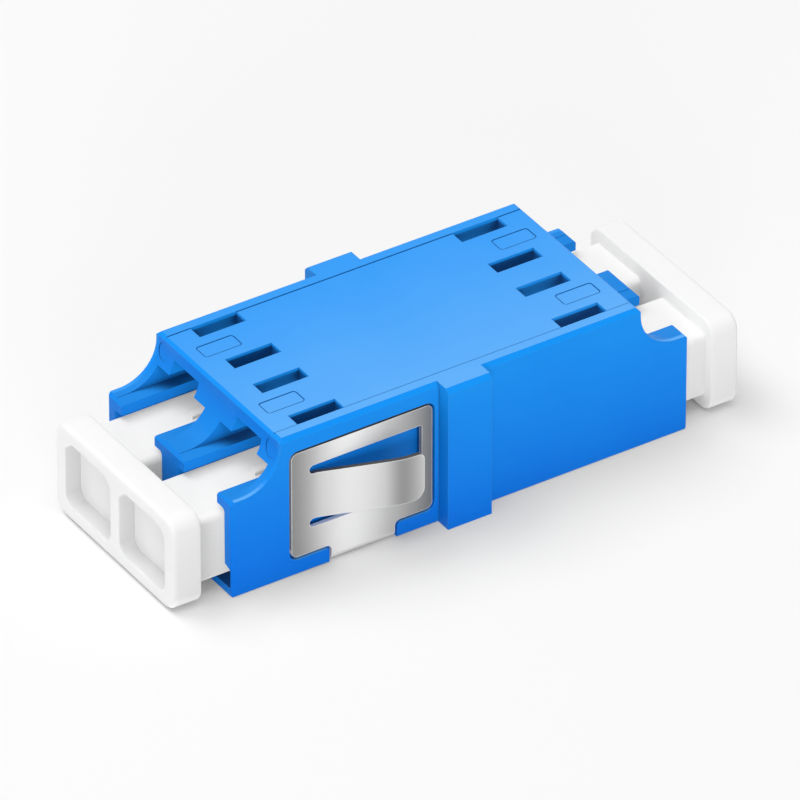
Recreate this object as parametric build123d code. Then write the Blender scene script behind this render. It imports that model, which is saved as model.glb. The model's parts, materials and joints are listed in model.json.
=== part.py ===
from build123d import *
import os
from math import radians, tan

# Duplex adapter for small fibre optic plugs, with a dust cap in each end.
# Millimetres. X runs from the front ports to the rear ports, Y across the two ports, Z up.
# The origin is on the underside of the housing, at the middle of its length and width.

# Housing
BODY_LENGTH = 29.1
BODY_WIDTH = 12.4
BODY_HEIGHT = 9.05
EDGE_ROUND = 0.15            # ends and underside
TOP_CHAMFER = 0.25           # long edges of the top
TOP_RECESS = 0.03            # how far the top lies below the strips beside the chamfers
ROOF_LENGTH = 22.9
ROOF_THICKNESS = 0.90
FLOOR_THICKNESS = 0.58
NOSE_HEIGHT = 6.17           # top of the walls past the end of the roof
NOSE_RADIUS = 2.4            # concave sweep from the roof down to the nose
ROOF_CHAMFER = 0.20          # across the ends of the roof
NOSE_CHAMFER = 0.20          # across the ends of the nose

# Ports. The two ports come out at their standard pitch, 6.25.
PORT_WIDTH = 4.75
OUTER_WALL = 0.70            # beside each port
AXIS_HEIGHT = 3.05           # ferrule axis above the underside
SHELF_HEIGHT = 5.45          # underside of the shelves over the plug
SHELF_DROP = 0.03            # top of the shelves below the nose, at the wall
SHELF_SLOPE = 0.07           # further drop from there to the shelf's tip
SHELF_GAP = 3.30             # between the two shelf tips of a port
PORT_FILLET = 0.22
GROOVE_LENGTH = 3.5          # relief low in each outer wall, from the mouth inward
GROOVE_HEIGHT = 1.18
GROOVE_SLOPE = 0.17
GROOVE_SKIN = 0.16           # wall left outside the relief
BULKHEAD_THICKNESS = 2.8

# Latch windows, and the stops between them and the end of the roof
WINDOW_START = 6.90
WINDOW_LENGTH = 2.93
WINDOW_WIDTH = 1.00
WINDOW_SPREAD = 3.50         # between the two windows of a port
STOP_HEIGHT = 7.30           # underside of the latch stops

# Shallow pads in the top, one to a port end. A fine groove runs around each, and beside the rims.
PAD_START = 8.24
PAD_LENGTH = 2.36
PAD_WIDTH = 1.12
PAD_DEPTH = 0.02
PAD_CORNER = 0.20
GROOVE_LINE = 0.06           # width of the fine grooves
GROOVE_LINE_DEPTH = 0.07

# Round ejector marks in the swept ends of the outer walls
MARK_DIAMETER = 1.05
MARK_DEPTH = 0.04
MARK_DROP = 0.90             # centre below the top
MARK_INSET = 0.85            # centre from the side face

# Flange tabs
TAB_THICKNESS = 2.80
TAB_REACH = 0.90
TAB_OFFSET = -0.05
TAB_CHAMFER = 0.28

# Panel clip
CLIP_SHEET = 0.25
CLIP_SINK = 0.03             # clip face below the housing face
CLIP_START = -10.77
CLIP_LENGTH = 8.91
CLIP_BOTTOM = 1.12
CLIP_TOP = 7.85
CLIP_CORNER = 0.40
CLIP_BEND = 0.20             # inside radius where it turns under the floor
NECK_OFFSET = 2.52           # from the clip's front edge
NECK_LENGTH = 4.02
NECK_CORNER = 0.35
FRONT_BAND = 1.14            # sheet left in front of the slot
REAR_BAND = 0.67
LOW_BAND = 1.60
TOP_BAND = 1.15
SLOT_WIDTH = 0.53
SLOT_CORNER = 0.15
TONGUE_ANGLE = 18.7
TONGUE_LIP = 1.10            # along X, from the crest to the free end
TONGUE_CURL = 1.0            # how far the lip leans back towards the housing
TONGUE_ROOT_RADIUS = 1.2
TONGUE_CREST_RADIUS = 4.5
TONGUE_TOP_CORNER = 0.40
TONGUE_LOW_CORNER = 0.70
TONGUE_END_GAP = 0.83        # along X, from the free end to the end of the slot
TONGUE_OVERLAP = 0.30        # strip let into the sheet before the root bend
POCKET_GAP = 0.15            # around the clip's outline
POCKET_BACK = 0.02           # behind and over the clip
TONGUE_WELL = 0.14           # extra depth behind the tongue

# Sleeves and their holders
FERRULE_BORE = 1.25
SLEEVE_DIAMETER = 1.62
SLEEVE_LENGTH = 6.8
SLEEVE_SLIT = 0.14
SLEEVE_PLAY = 0.10           # on the diameter, inside the holder
SLEEVE_END_PLAY = 0.10
BARREL_DIAMETER = 2.70
BARREL_LIP = 0.50            # end wall that keeps the sleeve in
BARREL_MOUTH = 1.48          # narrow end of the lead-in through that wall
BARREL_LEAD = 1.90           # wide end
BARREL_CHAMFER = 0.15
HOLDER_ROOT_DIAMETER = 3.00
HOLDER_FLANGE_DIAMETER = 4.00
HOLDER_FLANGE = 0.60
HOLDER_PLAY = 0.04           # on the diameter, in the bulkhead

# Dust caps
CAP_PLATE_WIDTH = 11.94
CAP_PLATE_HEIGHT = 5.86
CAP_PLATE_THICKNESS = 1.77
CAP_PLATE_CORNER = 1.0
CAP_EDGE_ROUND = 0.25
CAP_BACK_ROUND = 0.12
CAP_STANDOFF = 1.72          # from the end of the housing to the plate
CAP_RECESS_WIDTH = 4.55
CAP_RECESS_HEIGHT = 4.10
CAP_RECESS_DEPTH = 1.0
CAP_RECESS_CORNER = 0.70
CAP_RECESS_SPREAD = 5.45     # between the centres of the two recesses
CAP_RIM_ROUND = 0.10
CAP_PLUG_PLAY = 0.30         # on the width, in the port
CAP_PLUG_HEIGHT = 4.15
CAP_PLUG_CORNER = 0.40
CAP_TIP_COVER = 0.50         # how far the plug reaches over the barrel's end
CAP_TIP_CHAMFER = 0.30
CAP_BORE_PLAY = 0.50         # on the diameter, around the barrel
CAP_BORE_DEPTH = 6.0
CAP_RIB_START = 3.25         # from the end of the housing inward
CAP_RIB_LENGTH = 3.0
CAP_RIB_WIDTH = 0.56
CAP_RIB_HEIGHT = 0.20
CAP_RIB_ROUND = 0.08

# Sizes worked out from those above
HALF_LENGTH = BODY_LENGTH / 2
HALF_WIDTH = BODY_WIDTH / 2
HALF_ROOF = ROOF_LENGTH / 2
HALF_PORT = PORT_WIDTH / 2
PORT_PITCH = BODY_WIDTH - 2 * OUTER_WALL - PORT_WIDTH
PORT_CENTRES = (PORT_PITCH / 2, -PORT_PITCH / 2)
ROOF_UNDERSIDE = BODY_HEIGHT - ROOF_THICKNESS
PLATE_TOP = BODY_HEIGHT - TOP_RECESS
PLATE_EDGE = PORT_PITCH / 2 + (WINDOW_SPREAD + WINDOW_WIDTH) / 2        # at the outermost windows
PORT_WALL = PORT_PITCH / 2 + HALF_PORT
HALF_BULKHEAD = BULKHEAD_THICKNESS / 2
WINDOW_END = WINDOW_START + WINDOW_LENGTH
CLIP_END = CLIP_START + CLIP_LENGTH
NECK_START = CLIP_START + NECK_OFFSET
CLIP_FACE = HALF_WIDTH - CLIP_SINK
CLIP_BACK = CLIP_FACE - CLIP_SHEET
SLOT_START = CLIP_START + FRONT_BAND
SLOT_END = CLIP_END - REAR_BAND
SLOT_BOTTOM = CLIP_BOTTOM + LOW_BAND
SLOT_TOP = CLIP_TOP - TOP_BAND
SLOT_TIP_ROUND = 0.49 * SLOT_WIDTH      # just under half, so that two corners never meet
TONGUE_BEND = SLOT_START + SLOT_WIDTH / 2       # where it starts to curve outwards
TONGUE_ROOT = TONGUE_BEND + TONGUE_ROOT_RADIUS * tan(radians(TONGUE_ANGLE / 2))
TONGUE_END = SLOT_END - TONGUE_END_GAP
TONGUE_CREST = TONGUE_END - TONGUE_LIP
TONGUE_BOTTOM = SLOT_BOTTOM + SLOT_WIDTH
TONGUE_TOP = SLOT_TOP - SLOT_WIDTH
SLEEVE_HALF = SLEEVE_LENGTH / 2
BARREL_END = SLEEVE_HALF + SLEEVE_END_PLAY + BARREL_LIP
HOLDER_BORE = SLEEVE_DIAMETER + SLEEVE_PLAY
PLATE_BACK = HALF_LENGTH + CAP_STANDOFF
PLATE_FACE = PLATE_BACK + CAP_PLATE_THICKNESS
PLUG_TIP = BARREL_END - CAP_TIP_COVER
PLUG_WIDTH = PORT_WIDTH - CAP_PLUG_PLAY
SIDES = (("left", PORT_CENTRES[0]), ("right", PORT_CENTRES[1]))
REACH = 4 * BODY_WIDTH       # longer than anything it cuts through
OVER = 1.0                   # how far a cut runs past the face it opens
TOUCH = 1e-6                 # points nearer than this are the same point


def block(x0, x1, y0, y1, z0, z1):
    """A box between two corners."""
    size = (x1 - x0, y1 - y0, z1 - z0)
    return Pos((x0 + x1) / 2, (y0 + y1) / 2, (z0 + z1) / 2) * Box(*size)


def rod(diameter, x0, x1, y=0.0, z=0.0):
    """A round bar along X."""
    return Pos((x0 + x1) / 2, y, z) * Rot(0, 90, 0) * Cylinder(diameter / 2, x1 - x0)


def along_x(face, x0, x1):
    """Extrude a section drawn as (y, z) from x0 to x1."""
    plane = Plane(origin=(x0, 0, 0), x_dir=(0, 1, 0), z_dir=(1, 0, 0))
    return extrude(plane * face, x1 - x0)


def along_y(face, y0, y1):
    """Extrude an outline drawn as (x, z) from y0 to y1."""
    plane = Plane(origin=(0, y1, 0), x_dir=(1, 0, 0), z_dir=(0, -1, 0))
    return extrude(plane * face, y1 - y0)


def outline(*points):
    """A flat face with straight edges through the points."""
    return make_face(Polyline(*points, close=True))


def round_corners(face, corners, radius):
    """Round the corners of a flat face that lie at the given points."""
    spots = [Vector(*corner) for corner in corners]
    near = [v for v in face.vertices() if any((Vector(v) - spot).length < TOUCH for spot in spots)]
    return fillet(near, radius)


def mirrored(shape):
    """The same shape at the other end."""
    return mirror(shape, Plane.YZ)


def both_ends(shape):
    return [shape, mirrored(shape)]


def swept_end():
    """What is cut away above the nose, past the roof at the rear end."""
    over = BODY_HEIGHT + OVER
    start = (HALF_ROOF - ROOF_CHAMFER - OVER, over)
    rim = (HALF_ROOF, BODY_HEIGHT - ROOF_CHAMFER)
    top = (HALF_ROOF, NOSE_HEIGHT + NOSE_RADIUS)
    low = (HALF_ROOF + NOSE_RADIUS, NOSE_HEIGHT)
    out = HALF_LENGTH + OVER
    end = (HALF_LENGTH - NOSE_CHAMFER, NOSE_HEIGHT)
    beyond = (out, NOSE_HEIGHT - NOSE_CHAMFER - OVER)
    edges = [
        Line(start, rim),
        Line(rim, top),
        RadiusArc(top, low, -NOSE_RADIUS),
        Line(low, end),
        Line(end, beyond),
        Line(beyond, (out, over)),
        Line((out, over), start),
    ]
    return along_y(make_face(edges), -REACH, REACH)


def port_section():
    """Section of one port up to the latch stops, drawn about the port's own centre."""
    half_gap = SHELF_GAP / 2
    wall_top = NOSE_HEIGHT - SHELF_DROP
    right = [
        (HALF_PORT, FLOOR_THICKNESS),
        (HALF_PORT, SHELF_HEIGHT),
        (half_gap, SHELF_HEIGHT),
        (half_gap, wall_top - SHELF_SLOPE),
        (HALF_PORT, wall_top),
        (HALF_PORT, STOP_HEIGHT),
    ]
    left = [(-y, z) for y, z in reversed(right)]
    face = outline(*right, *left)
    corners = [(s * HALF_PORT, z) for s in (1, -1) for z in (FLOOR_THICKNESS, SHELF_HEIGHT)]
    return round_corners(face, corners, PORT_FILLET)


def port_cuts(y):
    """Everything cut out of the housing for one port at the rear end."""
    out = HALF_LENGTH + OVER
    cuts = [Pos(0, y, 0) * along_x(port_section(), HALF_BULKHEAD, out)]
    stop = WINDOW_SPREAD / 2 - WINDOW_WIDTH / 2
    over = STOP_HEIGHT - PORT_FILLET
    cuts.append(block(HALF_BULKHEAD, WINDOW_END, y - HALF_PORT, y + HALF_PORT, over, ROOF_UNDERSIDE))
    cuts.append(block(HALF_BULKHEAD, out, y - stop, y + stop, over, ROOF_UNDERSIDE))
    for s in (1, -1):
        centre = y + s * WINDOW_SPREAD / 2
        edges = (centre - WINDOW_WIDTH / 2, centre + WINDOW_WIDTH / 2)
        cuts.append(block(WINDOW_START, WINDOW_END, *edges, STOP_HEIGHT, BODY_HEIGHT + OVER))
    middle = Pos(PAD_START + PAD_LENGTH / 2, y)
    pad = RectangleRounded(PAD_LENGTH, PAD_WIDTH, PAD_CORNER)
    line = 2 * GROOVE_LINE
    ring = pad - RectangleRounded(PAD_LENGTH - line, PAD_WIDTH - line, PAD_CORNER - GROOVE_LINE)
    cuts.append(middle * extrude(Pos(0, 0, PLATE_TOP - PAD_DEPTH) * pad, OVER))
    cuts.append(middle * extrude(Pos(0, 0, PLATE_TOP - GROOVE_LINE_DEPTH) * ring, OVER))
    return cuts


def relief_groove(side):
    """Relief low in one outer wall at the rear mouth."""
    inner = side * (PORT_WALL - HALF_PORT)
    wall = side * PORT_WALL
    deep = side * (HALF_WIDTH - GROOVE_SKIN)
    top = FLOOR_THICKNESS + GROOVE_HEIGHT
    face = outline((inner, FLOOR_THICKNESS), (deep, FLOOR_THICKNESS), (deep, top),
                   (wall, top + GROOVE_SLOPE), (inner, top + GROOVE_SLOPE))
    return along_x(face, HALF_LENGTH - GROOVE_LENGTH, HALF_LENGTH + OVER)


def ejector_mark(side):
    """Shallow round mark in the swept end of one outer wall, equally deep all over."""
    y = side * (HALF_WIDTH - MARK_INSET)
    bar = rod(MARK_DIAMETER, HALF_ROOF - OVER, HALF_LENGTH, y, BODY_HEIGHT - MARK_DROP)
    return bar & Pos(-MARK_DEPTH, 0, 0) * swept_end()


def clip_outline(gap=0.0):
    """Side view of the clip as (x, z), with its neck running down past the floor."""
    x0, x1 = CLIP_START - gap, CLIP_END + gap
    n0, n1 = NECK_START - gap, NECK_START + NECK_LENGTH + gap
    low, top = CLIP_BOTTOM - gap, CLIP_TOP + gap
    neck = [(n1, low), (n1, -OVER), (n0, -OVER), (n0, low)]
    face = outline((x0, low), (x0, top), (x1, top), (x1, low), *neck)
    face = round_corners(face, [(x0, low), (x0, top), (x1, top), (x1, low)], CLIP_CORNER + gap)
    return round_corners(face, [(n1, low), (n0, low)], NECK_CORNER - gap)


def clip_core(back, under, bend):
    """What lies inside the bent sheet: a trough with rounded bottom corners."""
    top = BODY_HEIGHT + OVER
    face = outline((-back, top), (-back, under), (back, under), (back, top))
    face = round_corners(face, [(-back, under), (back, under)], bend)
    return along_x(face, CLIP_START - OVER, CLIP_END + OVER)


def clip_slot():
    """The slot that frees the tongue on three sides, as (x, z)."""
    far = [(SLOT_END, SLOT_BOTTOM), (SLOT_END, SLOT_TOP)]
    face = outline((SLOT_START, SLOT_BOTTOM), *far, (SLOT_START, SLOT_TOP))
    face = round_corners(face, far, SLOT_CORNER)
    root = (SLOT_START - OVER, TONGUE_BEND)
    face -= outline(*[(x, TONGUE_BOTTOM) for x in root], *[(x, TONGUE_TOP) for x in reversed(root)])
    ends = [(SLOT_START, z) for z in (SLOT_BOTTOM, TONGUE_BOTTOM, TONGUE_TOP, SLOT_TOP)]
    return round_corners(face, ends, SLOT_TIP_ROUND)


def bent_strip(points, radii, thickness):
    """A strip of sheet seen edge-on, along a path with rounded bends."""
    path = [Vector(*p) for p in points]
    turns = [(b - a).normalized() for a, b in zip(path, path[1:])]

    def edge(side):
        shift = side * thickness / 2
        normals = [Vector(-t.Y, t.X) for t in turns]
        line = [path[0] + normals[0] * shift]
        bends = []
        for k in range(1, len(turns)):
            middle = (normals[k - 1] + normals[k]).normalized()
            line.append(path[k] + middle * (shift / middle.dot(normals[k])))
            inward = turns[k - 1].cross(turns[k]).Z
            bends.append(radii[k - 1] - (shift if inward > 0 else -shift))
        line.append(path[-1] + normals[-1] * shift)
        return FilletPolyline(*line, radius=bends), line

    one, one_points = edge(1)
    two, two_points = edge(-1)
    caps = [Line(one_points[0], two_points[0]), Line(one_points[-1], two_points[-1])]
    return make_face([*one.edges(), *two.edges(), *caps])


def tongue():
    """The tongue on the right-hand side (negative Y), bent out from the clip's face."""
    middle = CLIP_FACE - CLIP_SHEET / 2
    out = middle + (TONGUE_CREST - TONGUE_ROOT) * tan(radians(TONGUE_ANGLE))
    back = out - TONGUE_LIP * tan(radians(TONGUE_CURL))
    start = SLOT_START - TONGUE_OVERLAP
    points = [(start, -middle), (TONGUE_ROOT, -middle), (TONGUE_CREST, -out), (TONGUE_END, -back)]
    profile = bent_strip(points, [TONGUE_ROOT_RADIUS, TONGUE_CREST_RADIUS], CLIP_SHEET)
    sheet = Pos(0, 0, SLOT_BOTTOM) * extrude(profile, SLOT_TOP - SLOT_BOTTOM)
    low = (TONGUE_END, TONGUE_BOTTOM)
    high = (TONGUE_END, TONGUE_TOP)
    shape = outline((start, TONGUE_BOTTOM), low, high, (start, TONGUE_TOP))
    shape = round_corners(shape, [high], TONGUE_TOP_CORNER)
    shape = round_corners(shape, [low], TONGUE_LOW_CORNER)
    return sheet & along_y(shape, -REACH, 0)


def make_clip():
    sheet = along_y(clip_outline(), -CLIP_FACE, CLIP_FACE)
    sheet &= clip_core(CLIP_FACE, CLIP_SINK, CLIP_BEND + CLIP_SHEET)
    sheet -= clip_core(CLIP_BACK, CLIP_SINK + CLIP_SHEET, CLIP_BEND)
    sheet -= along_y(clip_slot(), -REACH, REACH)
    blade = tongue()
    return sheet + blade + mirror(blade, Plane.XZ)


def clip_pocket():
    """What the clip's pockets take out of the housing."""
    room = along_y(clip_outline(POCKET_GAP), -REACH, REACH)
    core = clip_core(CLIP_BACK - POCKET_BACK, CLIP_SINK + CLIP_SHEET + POCKET_BACK, CLIP_BEND + POCKET_BACK)
    well_depth = CLIP_BACK - POCKET_BACK - TONGUE_WELL
    well = block(SLOT_START, SLOT_END, -REACH, REACH, SLOT_BOTTOM, SLOT_TOP)
    well -= block(SLOT_START - OVER, SLOT_END + OVER, -well_depth, well_depth, 0, BODY_HEIGHT)
    return room - core + well


def make_housing():
    body = block(-HALF_LENGTH, HALF_LENGTH, -HALF_WIDTH, HALF_WIDTH, 0, BODY_HEIGHT)
    body = chamfer(body.edges().filter_by(Axis.X).group_by(Axis.Z)[-1], TOP_CHAMFER)
    low = body.edges().group_by(Axis.Z)[0]
    body = fillet(low + body.edges().filter_by(Axis.Z), EDGE_ROUND)
    for s in (1, -1):
        x0 = TAB_OFFSET - TAB_THICKNESS / 2
        face = HALF_WIDTH + TAB_REACH
        inside = (PLATE_EDGE + HALF_WIDTH - TOP_CHAMFER) / 2
        sides = sorted((s * inside, s * face))
        tab = block(x0, x0 + TAB_THICKNESS, *sides, 0, BODY_HEIGHT)
        outer = tab.edges().filter_by(Axis.X).sort_by(lambda e: s * e.center().Y)[-2:]
        tab = chamfer(outer.sort_by(Axis.Z)[-1], TAB_CHAMFER)
        body += tab
    cuts = [block(-REACH, REACH, -PLATE_EDGE, PLATE_EDGE, PLATE_TOP, BODY_HEIGHT + OVER)]
    for s in (1, -1):
        line = sorted((s * PLATE_EDGE, s * (PLATE_EDGE - GROOVE_LINE)))
        cuts.append(block(-REACH, REACH, *line, PLATE_TOP - GROOVE_LINE_DEPTH, PLATE_TOP + OVER))
    end_cuts = [swept_end()]
    for y in PORT_CENTRES:
        end_cuts += port_cuts(y)
        bore = HOLDER_ROOT_DIAMETER + HOLDER_PLAY
        seat = HOLDER_FLANGE_DIAMETER + HOLDER_PLAY
        cuts.append(rod(bore, -HALF_BULKHEAD - OVER, HALF_BULKHEAD + OVER, y, AXIS_HEIGHT))
        end_cuts.append(rod(seat, HALF_BULKHEAD - HOLDER_FLANGE, HALF_BULKHEAD + OVER, y, AXIS_HEIGHT))
    for s in (1, -1):
        end_cuts += [relief_groove(s), ejector_mark(s)]
    for cut in end_cuts:
        cuts += both_ends(cut)
    for cut in cuts:
        body -= cut
    return body - clip_pocket()


def make_sleeve(y):
    sleeve = rod(SLEEVE_DIAMETER, -SLEEVE_HALF, SLEEVE_HALF, y, AXIS_HEIGHT)
    sleeve -= rod(FERRULE_BORE, -REACH, REACH, y, AXIS_HEIGHT)
    half = SLEEVE_SLIT / 2
    return sleeve - block(-REACH, REACH, y - half, y + half, AXIS_HEIGHT, AXIS_HEIGHT + SLEEVE_DIAMETER)


def make_holder(y):
    """The rear half of a sleeve holder. The front half is its mirror image."""
    barrel = rod(BARREL_DIAMETER, 0, BARREL_END, 0, 0)
    barrel = chamfer(barrel.edges().sort_by(Axis.X)[-1], BARREL_CHAMFER)
    barrel += rod(HOLDER_ROOT_DIAMETER, 0, HALF_BULKHEAD)
    barrel += rod(HOLDER_FLANGE_DIAMETER, HALF_BULKHEAD - HOLDER_FLANGE, HALF_BULKHEAD)
    barrel -= rod(HOLDER_BORE, -OVER, BARREL_END - BARREL_LIP)
    lead = Rot(0, 90, 0) * Cone(BARREL_MOUTH / 2, BARREL_LEAD / 2, BARREL_LIP)
    barrel -= Pos(BARREL_END - BARREL_LIP / 2, 0, 0) * lead
    return Pos(0, y, AXIS_HEIGHT) * barrel


def make_cap():
    """The rear dust cap. The front one is its mirror image."""
    plate = Rectangle(CAP_PLATE_WIDTH, CAP_PLATE_HEIGHT)
    plate = fillet(plate.vertices(), CAP_PLATE_CORNER)
    cap = along_x(Pos(0, AXIS_HEIGHT) * plate, PLATE_BACK, PLATE_FACE)
    cap = fillet(cap.faces().sort_by(Axis.X)[-1].edges(), CAP_EDGE_ROUND)
    cap = fillet(cap.faces().sort_by(Axis.X)[0].edges(), CAP_BACK_ROUND)
    recess = Rectangle(CAP_RECESS_WIDTH, CAP_RECESS_HEIGHT)
    recess = fillet(recess.vertices(), CAP_RECESS_CORNER)
    for s in (1, -1):
        spot = Pos(s * CAP_RECESS_SPREAD / 2, AXIS_HEIGHT)
        cap -= along_x(spot * recess, PLATE_FACE - CAP_RECESS_DEPTH, PLATE_FACE + OVER)
    rims = cap.faces().filter_by(Axis.X).sort_by(Axis.X)[-1].inner_wires().edges()
    cap = fillet(rims, CAP_RIM_ROUND)
    plug = Rectangle(PLUG_WIDTH, CAP_PLUG_HEIGHT)
    plug = fillet(plug.vertices(), CAP_PLUG_CORNER)
    stem = along_x(plug, PLUG_TIP, PLATE_BACK + CAP_BACK_ROUND)
    stem = chamfer(stem.faces().sort_by(Axis.X)[0].edges(), CAP_TIP_CHAMFER)
    stem -= rod(BARREL_DIAMETER + CAP_BORE_PLAY, PLUG_TIP - OVER, PLUG_TIP + CAP_BORE_DEPTH)
    rib_end = HALF_LENGTH - CAP_RIB_START
    half = CAP_RIB_WIDTH / 2
    top = CAP_PLUG_HEIGHT / 2
    rib = block(rib_end - CAP_RIB_LENGTH, rib_end, -half, half, top - CAP_RIB_HEIGHT, top + CAP_RIB_HEIGHT)
    rib = fillet(rib.edges().filter_by(Axis.X).group_by(Axis.Z)[-1], CAP_RIB_ROUND)
    for y in PORT_CENTRES:
        cap += Pos(0, y, AXIS_HEIGHT) * (stem + rib)
    return cap


def build():
    cap = make_cap()
    nodes = {
        "housing": make_housing(),
        "panel_clip": make_clip(),
        "rear_dust_cap": cap,
        "front_dust_cap": mirrored(cap),
    }
    for name, y in SIDES:
        nodes["split_sleeve_" + name] = make_sleeve(y)
        holder = make_holder(y)
        nodes["sleeve_holder_rear_" + name] = holder
        nodes["sleeve_holder_front_" + name] = mirrored(holder)
    return nodes


os.makedirs("parts", exist_ok=True)
for node, shape in build().items():
    export_step(shape, "parts/" + node + ".step")
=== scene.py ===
import json
from math import cos, radians, sin

import bpy
from mathutils import Matrix, Vector

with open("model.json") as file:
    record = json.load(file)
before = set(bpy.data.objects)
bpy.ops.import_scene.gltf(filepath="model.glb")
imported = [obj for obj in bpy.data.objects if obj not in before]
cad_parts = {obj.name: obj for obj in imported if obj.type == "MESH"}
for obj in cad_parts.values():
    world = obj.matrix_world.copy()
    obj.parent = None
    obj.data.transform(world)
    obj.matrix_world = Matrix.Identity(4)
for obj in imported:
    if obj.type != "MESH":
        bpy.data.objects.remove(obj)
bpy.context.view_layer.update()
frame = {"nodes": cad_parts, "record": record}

# Duplex fibre optic adapter lying on a white table. Metres, in the CAD frame.
MM = 0.001

# Camera: direction from the object, distance, and the point of the object in the middle of the view
CAMERA_AZIMUTH = radians(-32.845)
CAMERA_ELEVATION = radians(34.764)
CAMERA_DISTANCE = 698.84 * MM
CAMERA_LENS = 582.7
CAMERA_AIM = (0.06 * MM, 3.11 * MM)      # right and up from the CAD origin

# Table and room
FLOOR_SIZE = 3.0
FLOOR_DROP = 0.01 * MM
FLOOR_SEEN = (0.95, 0.95, 0.95)          # what the camera and reflections see
FLOOR_BOUNCE = (0.90, 0.90, 0.90)        # what lights the object
ROOM_LIGHT = 0.45

# Painted reflections: brightness of the satin steel along X in millimetres, on the flat sheet and on the
# sprung tongues
SHEET_PAINTED_REFLECTIONS = (
    (-10.8, 0.27), (-9.9, 0.39), (-8.9, 0.66), (-7.7, 0.97), (-6.4, 0.99), (-4.6, 0.66), (-1.9, 0.16),
)
TONGUE_PAINTED_REFLECTIONS = (
    (-10.8, 0.27), (-9.6, 0.46), (-8.6, 0.70), (-7.4, 0.89), (-5.6, 0.66), (-4.6, 0.13), (-3.3, 0.72),
)
SHEET_FACE = 6.17                        # millimetres from the middle plane to the clip's flat face
TONGUE_RISE = 0.25                       # how far out the tongue's painted reflections have taken over
CUT_EDGE_PAINTED_SHADE = (0.10, 0.10, 0.10)            # painted shade on cut edges of the sheet that look up
PAINTED_EDGE_HIGHLIGHT = (0.95, 0.95, 0.95)         # painted highlight on edges, and on cut edges low down
CUT_HEIGHT = 4.0                         # where the cut edges that look up change from painted highlight to painted shade
CUT_FROM = 0.3                           # upward part of the normal from which an edge looks up
NECK_HEIGHT = 1.6                        # below it, the cut edges that face along the sheet get a painted highlight
NECK_PAINTED_HIGHLIGHT = (0.75, 0.75, 0.75)
BEND_PAINTED_SHADING = (0.80, 0.80, 0.80)           # painted shading where the sheet turns under the floor
BEND_LOW, BEND_HIGH = 0.38, 0.50         # heights between which that tone fades out
STEEL_EDGE = 0.12 * MM                   # width of the painted highlight along the sheet's edges
STEEL_ROUND = 0.05 * MM                  # softening of those edges

# Plastic: painted shade in fine creases and in larger hollows, found by ambient occlusion, and painted light
# and shade by place and facing. Places are in millimetres.
CREASE_SHADE_REACH = 0.15 * MM
CREASE_SHADE_OPENNESS = (0.2, 0.9)                  # openness at which the painted crease shade begins and ends
HOLLOW_REACH = 2.4 * MM
CREASE_SHADE_SAMPLES, HOLLOW_SAMPLES = 8, 16
SIDE_HEIGHT, TOP_HALF = 9.0, 6.2         # over which the painted light on sides and tops changes
INSIDE_Y, INSIDE_Z = 6.0, 8.9            # within which the painted shading of the inside holds
FADE = 0.1                               # over which one place's tones give way to the next
MIDDLE_Y = 1.3                           # half width of the space between the two plugs
RECESS_X = 16.5                          # from the middle to the recesses in the caps
PLUG_X = 15.0                            # from the middle to the visible part of the plugs
LEDGE_LOW, LEDGE_HIGH = 1.0, 4.0         # heights over which the painted shading of the inner ledges changes
TOP_FROM = 0.75                          # upward part of the normal from which an outer face is a top
LEDGE_FROM = 0.2                         # the same for a ledge inside
END_FROM = 0.5                           # the same along the length, for end faces
UNDER_FROM, UNDER_FULL = -0.1, -0.5      # the same for faces that look down, which get painted light
SIDE_SLOPE = 0.085                       # how much the sides' painted light also climbs towards the rear
DRIFT = 0.08                             # uneven tone, as a share of the step between a face's two colours
DRIFT_SIZE = 6 * MM
GLOSS_SIZE = 2.2 * MM                    # patches of uneven gloss
FLOW_SIZE, FLOW_DEPTH = 3.5 * MM, 0.010 * MM
GRAIN_SIZE = 0.09 * MM
INNER_ROUND = 0.2                        # how much less the edges inside are softened

# Painted shade colours that are used more than once
HOUSING_HOLLOW_PAINTED_SHADE = (0.000, 0.045, 0.19)
HOUSING_END_PAINTED_SHADING = (0.001, 0.22, 0.84)
HOLDER_HOLLOW_PAINTED_SHADE = (0.002, 0.05, 0.22)
HOLDER_END_PAINTED_SHADING = (0.005, 0.19, 0.76)
HOLDER_LEDGE_PAINTED_SHADING = (0.01, 0.24, 0.75)

# Edges: how far the softened normal agrees with the flat one where the painted highlight strip starts and is
# full
EDGE_START, EDGE_FULL = 0.985, 0.80
BEVEL_SAMPLES = 4

# Softboxes: name, azimuth, elevation, distance, size, watts
SOFTBOXES = (
    ("key", -146, 60, 0.65, 0.36, 1.22),
    ("overhead", -60, 80, 0.60, 0.50, 1.31),
    ("fill", -29, 8, 0.65, 0.22, 1.12),
)


def direction(azimuth, elevation):
    """Unit vector from the origin; azimuth 0 looks at the near side, and -90 at the front ports."""
    flat = cos(elevation)
    return Vector((sin(azimuth) * flat, -cos(azimuth) * flat, sin(elevation)))


def grey(tone):
    return (tone, tone, tone)


def node_material(name):
    """A new material with a Principled shader, and a function that adds nodes to it."""
    material = bpy.data.materials.new(name)
    material.use_nodes = True
    tree = material.node_tree
    shader = tree.nodes["Principled BSDF"]

    def add(kind, inputs=None, **settings):
        node = tree.nodes.new("ShaderNode" + kind)
        for key, value in settings.items():
            setattr(node, key, value)
        for key, value in (inputs or {}).items():
            if isinstance(value, bpy.types.NodeSocket):
                tree.links.new(value, node.inputs[key])
            else:
                node.inputs[key].default_value = value
        return node

    def feed(key, socket):
        tree.links.new(socket, shader.inputs[key])

    return material, shader, add, feed


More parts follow.
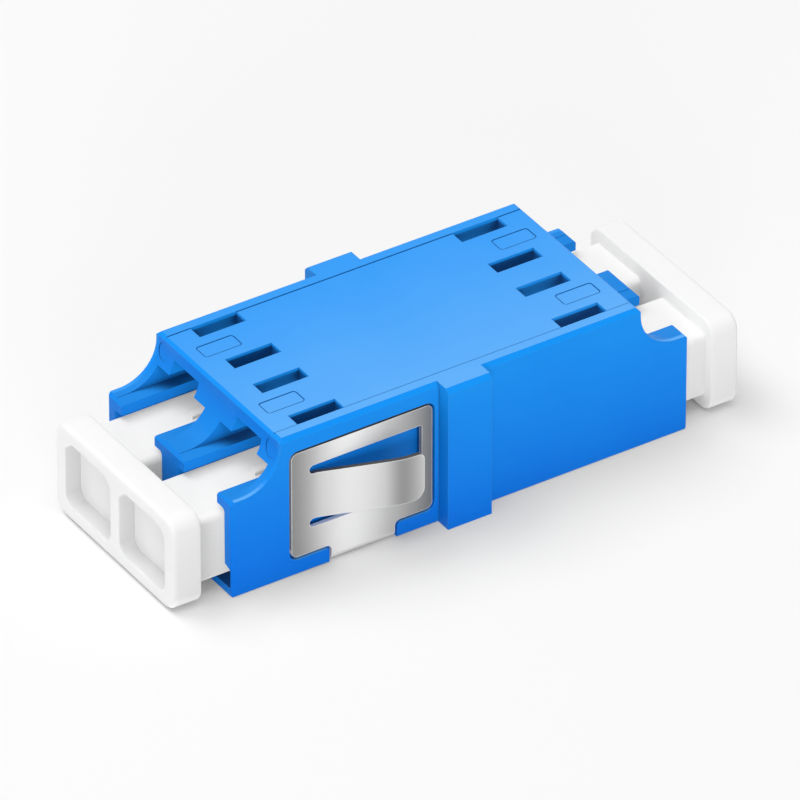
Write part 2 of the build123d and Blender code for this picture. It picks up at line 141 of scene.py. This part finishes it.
def noise(add, size, detail=2.0, stretch=(1, 1, 1)):
    """Noise from 0 to 1 with patches about the given size across, stretched along each axis."""
    place = add("TexCoord").outputs["Object"]
    scale = [1 / (size * s) for s in stretch]
    spread = add("Mapping", {"Vector": place, "Scale": scale})
    return add("TexNoise", {"Vector": spread.outputs[0], "Scale": 1.0, "Detail": detail}).outputs["Fac"]


def between(add, factor, low, high):
    """Maps noise, whose values lie mostly from 0.3 to 0.7, onto low to high."""
    ends = {"Value": factor, "From Min": 0.3, "From Max": 0.7, "To Min": low, "To Max": high}
    return add("MapRange", ends).outputs["Result"]


def mix_colours(add, factor, *colours):
    """Blend of two colours, each three numbers or a socket."""
    node = add("Mix", data_type="RGBA")
    tree = node.id_data
    tree.links.new(factor, node.inputs[0])
    for colour, socket in zip(colours, node.inputs[6:8]):
        if isinstance(colour, bpy.types.NodeSocket):
            tree.links.new(colour, socket)
        else:
            socket.default_value = (*colour, 1)
    return node.outputs[2]


def tone_ramp(add, along, tones):
    """Grey that follows the tones at their places along a coordinate in metres."""
    first, last = tones[0][0] * MM, tones[-1][0] * MM
    place = add("MapRange", {"Value": along, "From Min": first, "From Max": last}).outputs["Result"]
    ramp = add("ValToRGB", {"Fac": place})
    stops = ramp.color_ramp.elements
    ramp.color_ramp.interpolation = "B_SPLINE"
    while len(stops) < len(tones):
        stops.new(0.5)
    for stop, (spot, tone) in zip(stops, tones):
        stop.position = (spot * MM - first) / (last - first)
        stop.color = (tone, tone, tone, 1)
    return ramp.outputs["Color"]


def openness(add, reach, closed, clear, samples):
    """0 where hollows of about the given size are closed in, 1 on open faces of the same piece; the mask of
    painted shade.
    """
    shade = add("AmbientOcclusion", {"Distance": reach}, samples=samples, only_local=True).outputs["AO"]
    return add("MapRange", {"Value": shade, "From Min": closed, "From Max": clear}).outputs["Result"]


def past(add, value, limit):
    """0 below the limit in millimetres, 1 just past it."""
    ends = {"Value": value, "From Min": limit * MM, "From Max": (limit + FADE) * MM}
    return add("MapRange", ends).outputs["Result"]


def inside(add, place):
    """1 behind the outer faces of the body, 0 on them; the mask of the painted shading of the inside."""
    spread = add("Math", {0: place["Y"]}, operation="ABSOLUTE").outputs[0]
    share = None
    for value, limit in ((spread, INSIDE_Y), (place["Z"], INSIDE_Z)):
        ends = {"Value": value, "From Min": limit * MM, "From Max": (limit - FADE) * MM}
        part = add("MapRange", ends).outputs["Result"]
        share = part if share is None else add("Math", {0: share, 1: part}, operation="MULTIPLY").outputs[0]
    return share


def edge_light(add, reach):
    """0 on flat faces, towards 1 in a narrow strip along their edges; the mask of painted edge highlights.
    """
    rounded = add("Bevel", {"Radius": reach}, samples=BEVEL_SAMPLES).outputs[0]
    flat = add("NewGeometry").outputs["True Normal"]
    match = add("VectorMath", {0: rounded, 1: flat}, operation="DOT_PRODUCT").outputs["Value"]
    ends = {"Value": match, "From Min": EDGE_START, "From Max": EDGE_FULL}
    return add("MapRange", ends).outputs["Result"]


def facing_up(add, start, full=1.0):
    """0 to 1 as the upward part of the normal goes from the start to the full value; below 0 is downward."""
    upward = add("SeparateXYZ", {"Vector": add("NewGeometry").outputs["True Normal"]}).outputs["Z"]
    return add("MapRange", {"Value": upward, "From Min": start, "From Max": full}).outputs["Result"]


def facing_end(add, start):
    """1 on faces square to the length, 0 where that part of the normal is below the start."""
    along = add("SeparateXYZ", {"Vector": add("NewGeometry").outputs["True Normal"]}).outputs["X"]
    share = add("Math", {0: along}, operation="ABSOLUTE").outputs[0]
    return add("MapRange", {"Value": share, "From Min": start}).outputs["Result"]


def relief(add, layers, edge):
    """Normal with softened edges and bumps; each layer is height socket, depth."""
    normal = add("Bevel", {"Radius": edge}, samples=BEVEL_SAMPLES).outputs[0]
    for height, depth in layers:
        bump = add("Bump", {"Height": height, "Distance": depth, "Strength": 1.0, "Normal": normal})
        normal = bump.outputs[0]
    return normal


def moulded_plastic(name, sides, tops, rim_highlight, crease_shade, ends, ledges, hollows, shade, roughness, grain,
                    edge, middle=None, recess=None, under=None):
    """Moulded plastic with painted light and shade. On the outside, sides are painted lighter upwards and
    tops lighter towards the near side, with a painted highlight along edges and painted shade in creases;
    inside, ends and ledges get painted shading by facing, and hollows painted shade; uneven gloss and a fine
    grain. The painted hollow shade has a front and a rear colour on side faces, one on end faces and one on
    faces that look up, and the recesses at the far ends have one of each. The middle colour is painted light
    for side faces between the plugs, and the under colour painted light for faces that look down."""
    material, shader, add, feed = node_material(name)
    spot = add("TexCoord").outputs["Object"]
    place = add("SeparateXYZ", {"Vector": spot}).outputs
    climb = add("VectorMath", {0: spot, 1: (SIDE_SLOPE, 0, 1)}, operation="DOT_PRODUCT").outputs["Value"]
    drift = between(add, noise(add, DRIFT_SIZE), -DRIFT, DRIFT)
    # Painted light and shade by place: sides, tops, inner ends, inner ledges, and the hollows' side faces
    # from front to rear
    spans = (
        (climb, 0.0, SIDE_HEIGHT, sides),
        (place["Y"], TOP_HALF, -TOP_HALF, tops),
        (place["Y"], TOP_HALF, -TOP_HALF, ends),
        (place["Z"], LEDGE_LOW, LEDGE_HIGH, ledges),
        (place["X"], -PLUG_X, PLUG_X, hollows[0]),
    )
    blends = []
    for along, start, end, colours in spans:
        way = add("MapRange", {"Value": along, "From Min": start * MM, "From Max": end * MM})
        share = add("Math", {0: way.outputs["Result"], 1: drift}, operation="ADD").outputs[0]
        blends.append(mix_colours(add, share, *colours))
    side, top, end, ledge, painted_hollow_side_shading = blends
    # Painted light: outer faces that look up take the top tone
    outer = mix_colours(add, facing_up(add, TOP_FROM), side, top)
    # Painted highlight along edges
    outer = mix_colours(add, edge_light(add, edge), outer, rim_highlight)
    # Painted shade in fine creases
    outer = mix_colours(add, openness(add, CREASE_SHADE_REACH, *CREASE_SHADE_OPENNESS, CREASE_SHADE_SAMPLES), crease_shade, outer)
    upward = facing_up(add, LEDGE_FROM)
    endways = facing_end(add, END_FROM)
    away = [add("Math", {0: place[axis]}, operation="ABSOLUTE").outputs[0] for axis in "XY"]

    def by_direction(side, end, top):
        return mix_colours(add, upward, mix_colours(add, endways, side, end), top)

    # Painted light on side faces between the plugs
    if middle:
        painted_hollow_side_shading = mix_colours(add, past(add, away[1], MIDDLE_Y), middle, painted_hollow_side_shading)
    # Painted shade in the hollows, by facing; the cap recesses have painted shading of their own
    painted_hollow_shading = by_direction(painted_hollow_side_shading, *hollows[1:])
    if recess:
        painted_hollow_shading = mix_colours(add, past(add, away[0], RECESS_X), painted_hollow_shading, by_direction(*recess))
    shallow = by_direction(side, end, ledge)
    # Painted shading inside: hollow painted shade where the piece is closed in, shading by facing where it
    # is open
    inner = mix_colours(add, openness(add, HOLLOW_REACH, *shade, HOLLOW_SAMPLES), painted_hollow_shading, shallow)
    within = inside(add, place)
    colour = mix_colours(add, within, outer, inner)
    # Painted light on faces that look down
    if under:
        colour = mix_colours(add, facing_up(add, UNDER_FROM, UNDER_FULL), colour, under)
    feed("Base Color", colour)
    feed("Roughness", between(add, noise(add, GLOSS_SIZE, 3.0), *roughness))
    flow = noise(add, FLOW_SIZE, 1.0, (2.5, 1, 1))
    fine = noise(add, GRAIN_SIZE, 3.0)
    crisp = add("MapRange", {"Value": within, "To Min": edge, "To Max": INNER_ROUND * edge})
    feed("Normal", relief(add, [(flow, FLOW_DEPTH), (fine, grain)], crisp.outputs["Result"]))
    return material, shader


def housing_material(name):
    material, shader = moulded_plastic(
        # Painted light and shade: sides lighter upwards, tops lighter towards the near side, painted
        # highlight on edges, painted shade in creases, hollows and low ledges
        name,
        sides=((0.000, 0.185, 0.84), (0.006, 0.30, 0.94)),
        tops=((0.035, 0.335, 0.93), (0.115, 0.43, 0.95)),
        rim_highlight=(0.06, 0.38, 0.96),
        crease_shade=(0.001, 0.08, 0.35),
        ends=(HOUSING_END_PAINTED_SHADING, HOUSING_END_PAINTED_SHADING),
        ledges=(HOUSING_HOLLOW_PAINTED_SHADE, (0.012, 0.25, 0.78)),
        hollows=((HOUSING_HOLLOW_PAINTED_SHADE, HOUSING_HOLLOW_PAINTED_SHADE), HOUSING_HOLLOW_PAINTED_SHADE, HOUSING_HOLLOW_PAINTED_SHADE),
        shade=(0.42, 0.76),
        roughness=(0.36, 0.50),
        grain=0.0012 * MM,
        edge=0.05 * MM,
    )
    shader.inputs["Specular IOR Level"].default_value = 0.08
    return material


def holder_material(name):
    material, _ = moulded_plastic(
        # Painted light and shade: sides lighter upwards, painted highlight on edges, painted shade in
        # creases and hollows, painted shading on inner ends and ledges
        name,
        sides=((0.003, 0.16, 0.68), (0.005, 0.19, 0.76)),
        tops=((0.02, 0.25, 0.80), (0.02, 0.28, 0.82)),
        rim_highlight=(0.03, 0.30, 0.85),
        crease_shade=(0.002, 0.09, 0.38),
        ends=(HOLDER_END_PAINTED_SHADING, HOLDER_END_PAINTED_SHADING),
        ledges=(HOLDER_LEDGE_PAINTED_SHADING, HOLDER_LEDGE_PAINTED_SHADING),
        hollows=((HOLDER_HOLLOW_PAINTED_SHADE, HOLDER_HOLLOW_PAINTED_SHADE), HOLDER_HOLLOW_PAINTED_SHADE, HOLDER_HOLLOW_PAINTED_SHADE),
        shade=(0.42, 0.76),
        roughness=(0.32, 0.42),
        grain=0.0010 * MM,
        edge=0.04 * MM,
    )
    return material


def cap_material(name):
    material, shader = moulded_plastic(
        # Painted light and shade: sides lighter upwards, painted highlight on edges, painted shade in
        # creases and hollows, front plug sides darker than rear, recess walls darker and floors lighter,
        # painted light between the plugs and on faces that look down
        name,
        sides=(grey(0.80), grey(0.92)),
        tops=(grey(0.87), grey(0.87)),
        rim_highlight=grey(0.90),
        crease_shade=grey(0.71),
        ends=(grey(0.93), grey(0.90)),
        ledges=(grey(0.92), grey(0.92)),
        hollows=((grey(0.65), grey(0.83)), grey(0.97), grey(0.90)),
        shade=(0.90, 0.985),
        middle=grey(0.92),
        recess=(grey(0.69), grey(0.97), grey(0.77)),
        under=grey(0.98),
        roughness=(0.42, 0.56),
        grain=0.0010 * MM,
        edge=0.08 * MM,
    )
    shader.inputs["Specular IOR Level"].default_value = 0.25
    shader.inputs["Subsurface Weight"].default_value = 0.45
    shader.inputs["Subsurface Radius"].default_value = (1.0, 1.0, 1.0)
    shader.inputs["Subsurface Scale"].default_value = 0.8 * MM
    return material


def steel_material(name):
    """Satin spring steel, rolled along X, with slight waves as bumps, soft bands of painted reflection along
    X, painted shading on the bend, painted highlights on edges and painted shade on cut edges that look up.
    """
    material, shader, add, feed = node_material(name)
    shader.inputs["Metallic"].default_value = 0.45
    shader.inputs["Specular IOR Level"].default_value = 0.2
    shader.inputs["Anisotropic"].default_value = 0.25
    place = add("SeparateXYZ", {"Vector": add("TexCoord").outputs["Object"]})
    outwards = add("Math", {0: place.outputs["Y"]}, operation="ABSOLUTE").outputs[0]
    edges = {"Value": outwards, "From Min": SHEET_FACE * MM, "From Max": (SHEET_FACE + TONGUE_RISE) * MM}
    raised = add("MapRange", edges).outputs["Result"]
    # Painted reflections: grey bands along X for the flat sheet and for the tongues
    tones = [tone_ramp(add, place.outputs["X"], tones) for tones in (SHEET_PAINTED_REFLECTIONS, TONGUE_PAINTED_REFLECTIONS)]
    colour = mix_colours(add, raised, *tones)
    # Painted shading on the bend at the foot of the sheet
    rise = {"Value": place.outputs["Z"], "From Min": BEND_LOW * MM, "From Max": BEND_HIGH * MM}
    colour = mix_colours(add, add("MapRange", rise).outputs["Result"], BEND_PAINTED_SHADING, colour)
    # Painted highlight on the cut edges low down that face along the sheet
    neck = mix_colours(add, past(add, place.outputs["Z"], NECK_HEIGHT), NECK_PAINTED_HIGHLIGHT, colour)
    colour = mix_colours(add, facing_end(add, END_FROM), colour, neck)
    # Painted highlight along the sheet's edges
    colour = mix_colours(add, edge_light(add, STEEL_EDGE), colour, PAINTED_EDGE_HIGHLIGHT)
    # Cut edges that look up: painted highlight low down, painted shade higher up
    cut = mix_colours(add, past(add, place.outputs["Z"], CUT_HEIGHT), PAINTED_EDGE_HIGHLIGHT, CUT_EDGE_PAINTED_SHADE)
    feed("Base Color", mix_colours(add, facing_up(add, CUT_FROM), colour, cut))
    grain = noise(add, 0.05 * MM, 2.0, (30, 1, 1))
    feed("Roughness", between(add, grain, 0.40, 0.50))
    waves = noise(add, 3.0 * MM, 1.0, (1, 4, 2))
    feed("Normal", relief(add, [(waves, 0.02 * MM), (grain, 0.0005 * MM)], STEEL_ROUND))
    return material


def ceramic_material(name):
    """Ground zirconia, faintly ringed by the grinding."""
    material, shader, add, feed = node_material(name)
    cloud = between(add, noise(add, 1.5 * MM), 0.0, 1.0)
    feed("Base Color", mix_colours(add, cloud, (0.80, 0.79, 0.75), (0.85, 0.84, 0.81)))
    rings = noise(add, 0.04 * MM, 1.0, (1, 25, 25))
    feed("Roughness", between(add, rings, 0.14, 0.24))
    feed("Normal", relief(add, [(rings, 0.0003 * MM)], 0.03 * MM))
    return material


MAKERS = {
    "housing_plastic": housing_material,
    "clip_steel": steel_material,
    "cap_plastic": cap_material,
    "holder_plastic": holder_material,
    "sleeve_ceramic": ceramic_material,
}


def dress_nodes():
    """Gives every CAD node the material that its slot in the record names."""
    made = {slot: maker(slot) for slot, maker in MAKERS.items()}
    for part in frame["record"]["subparts"]:
        mesh = frame["nodes"][part["node"]].data
        mesh.materials.clear()
        mesh.materials.append(made[part["material_slot"]])
    frame["nodes"]["housing"].visible_diffuse = False       # keeps its blue off the white table and caps


def seen_directly(add):
    """1 for rays from the camera, or by way of a reflection or clear material, else 0."""
    path = add("LightPath")
    total = path.outputs["Is Camera Ray"]
    for kind in ("Is Glossy Ray", "Is Transmission Ray"):
        total = add("Math", {0: total, 1: path.outputs[kind]}, operation="MAXIMUM").outputs[0]
    return total


def make_floor():
    bpy.ops.mesh.primitive_plane_add(size=FLOOR_SIZE, location=(0, 0, -FLOOR_DROP))
    floor = bpy.context.object
    floor.name = "table"
    material, shader, add, feed = node_material("white_table")
    feed("Base Color", mix_colours(add, seen_directly(add), FLOOR_BOUNCE, FLOOR_SEEN))
    shader.inputs["Roughness"].default_value = 0.9
    shader.inputs["Specular IOR Level"].default_value = 0.0
    floor.data.materials.append(material)


def make_room():
    world = bpy.data.worlds.new("room")
    bpy.context.scene.world = world
    world.use_nodes = True
    tree = world.node_tree
    background = tree.nodes["Background"]
    background.inputs["Color"].default_value = (1, 1, 1, 1)
    path = tree.nodes.new("ShaderNodeLightPath")
    total = path.outputs["Is Camera Ray"]
    for kind in ("Is Glossy Ray", "Is Transmission Ray"):
        highest = tree.nodes.new("ShaderNodeMath")
        highest.operation = "MAXIMUM"
        tree.links.new(total, highest.inputs[0])
        tree.links.new(path.outputs[kind], highest.inputs[1])
        total = highest.outputs[0]
    strength = tree.nodes.new("ShaderNodeMapRange")
    strength.inputs["To Min"].default_value = ROOM_LIGHT
    strength.inputs["To Max"].default_value = 1.0
    tree.links.new(total, strength.inputs["Value"])
    tree.links.new(strength.outputs["Result"], background.inputs["Strength"])


def make_lights():
    for name, azimuth, elevation, distance, size, power in SOFTBOXES:
        light = bpy.data.lights.new(name, "AREA")
        light.shape = "SQUARE"
        light.size = size
        light.energy = power
        lamp = bpy.data.objects.new(name, light)
        towards = direction(radians(azimuth), radians(elevation))
        lamp.location = towards * distance
        lamp.rotation_euler = towards.to_track_quat("Z", "Y").to_euler()
        bpy.context.scene.collection.objects.link(lamp)


def make_camera():
    back = direction(CAMERA_AZIMUTH, CAMERA_ELEVATION)
    right = Vector((cos(CAMERA_AZIMUTH), sin(CAMERA_AZIMUTH), 0))
    up = back.cross(right)
    data = bpy.data.cameras.new("camera")
    data.lens = CAMERA_LENS
    data.clip_start = 10 * MM
    camera = bpy.data.objects.new("camera", data)
    place = right * CAMERA_AIM[0] + up * CAMERA_AIM[1] + back * CAMERA_DISTANCE
    camera.matrix_world = Matrix.Translation(place) @ Matrix((right, up, back)).transposed().to_4x4()
    bpy.context.scene.collection.objects.link(camera)
    bpy.context.scene.camera = camera


bpy.context.scene.view_settings.view_transform = "Standard"
dress_nodes()
make_floor()
make_room()
make_lights()
make_camera()
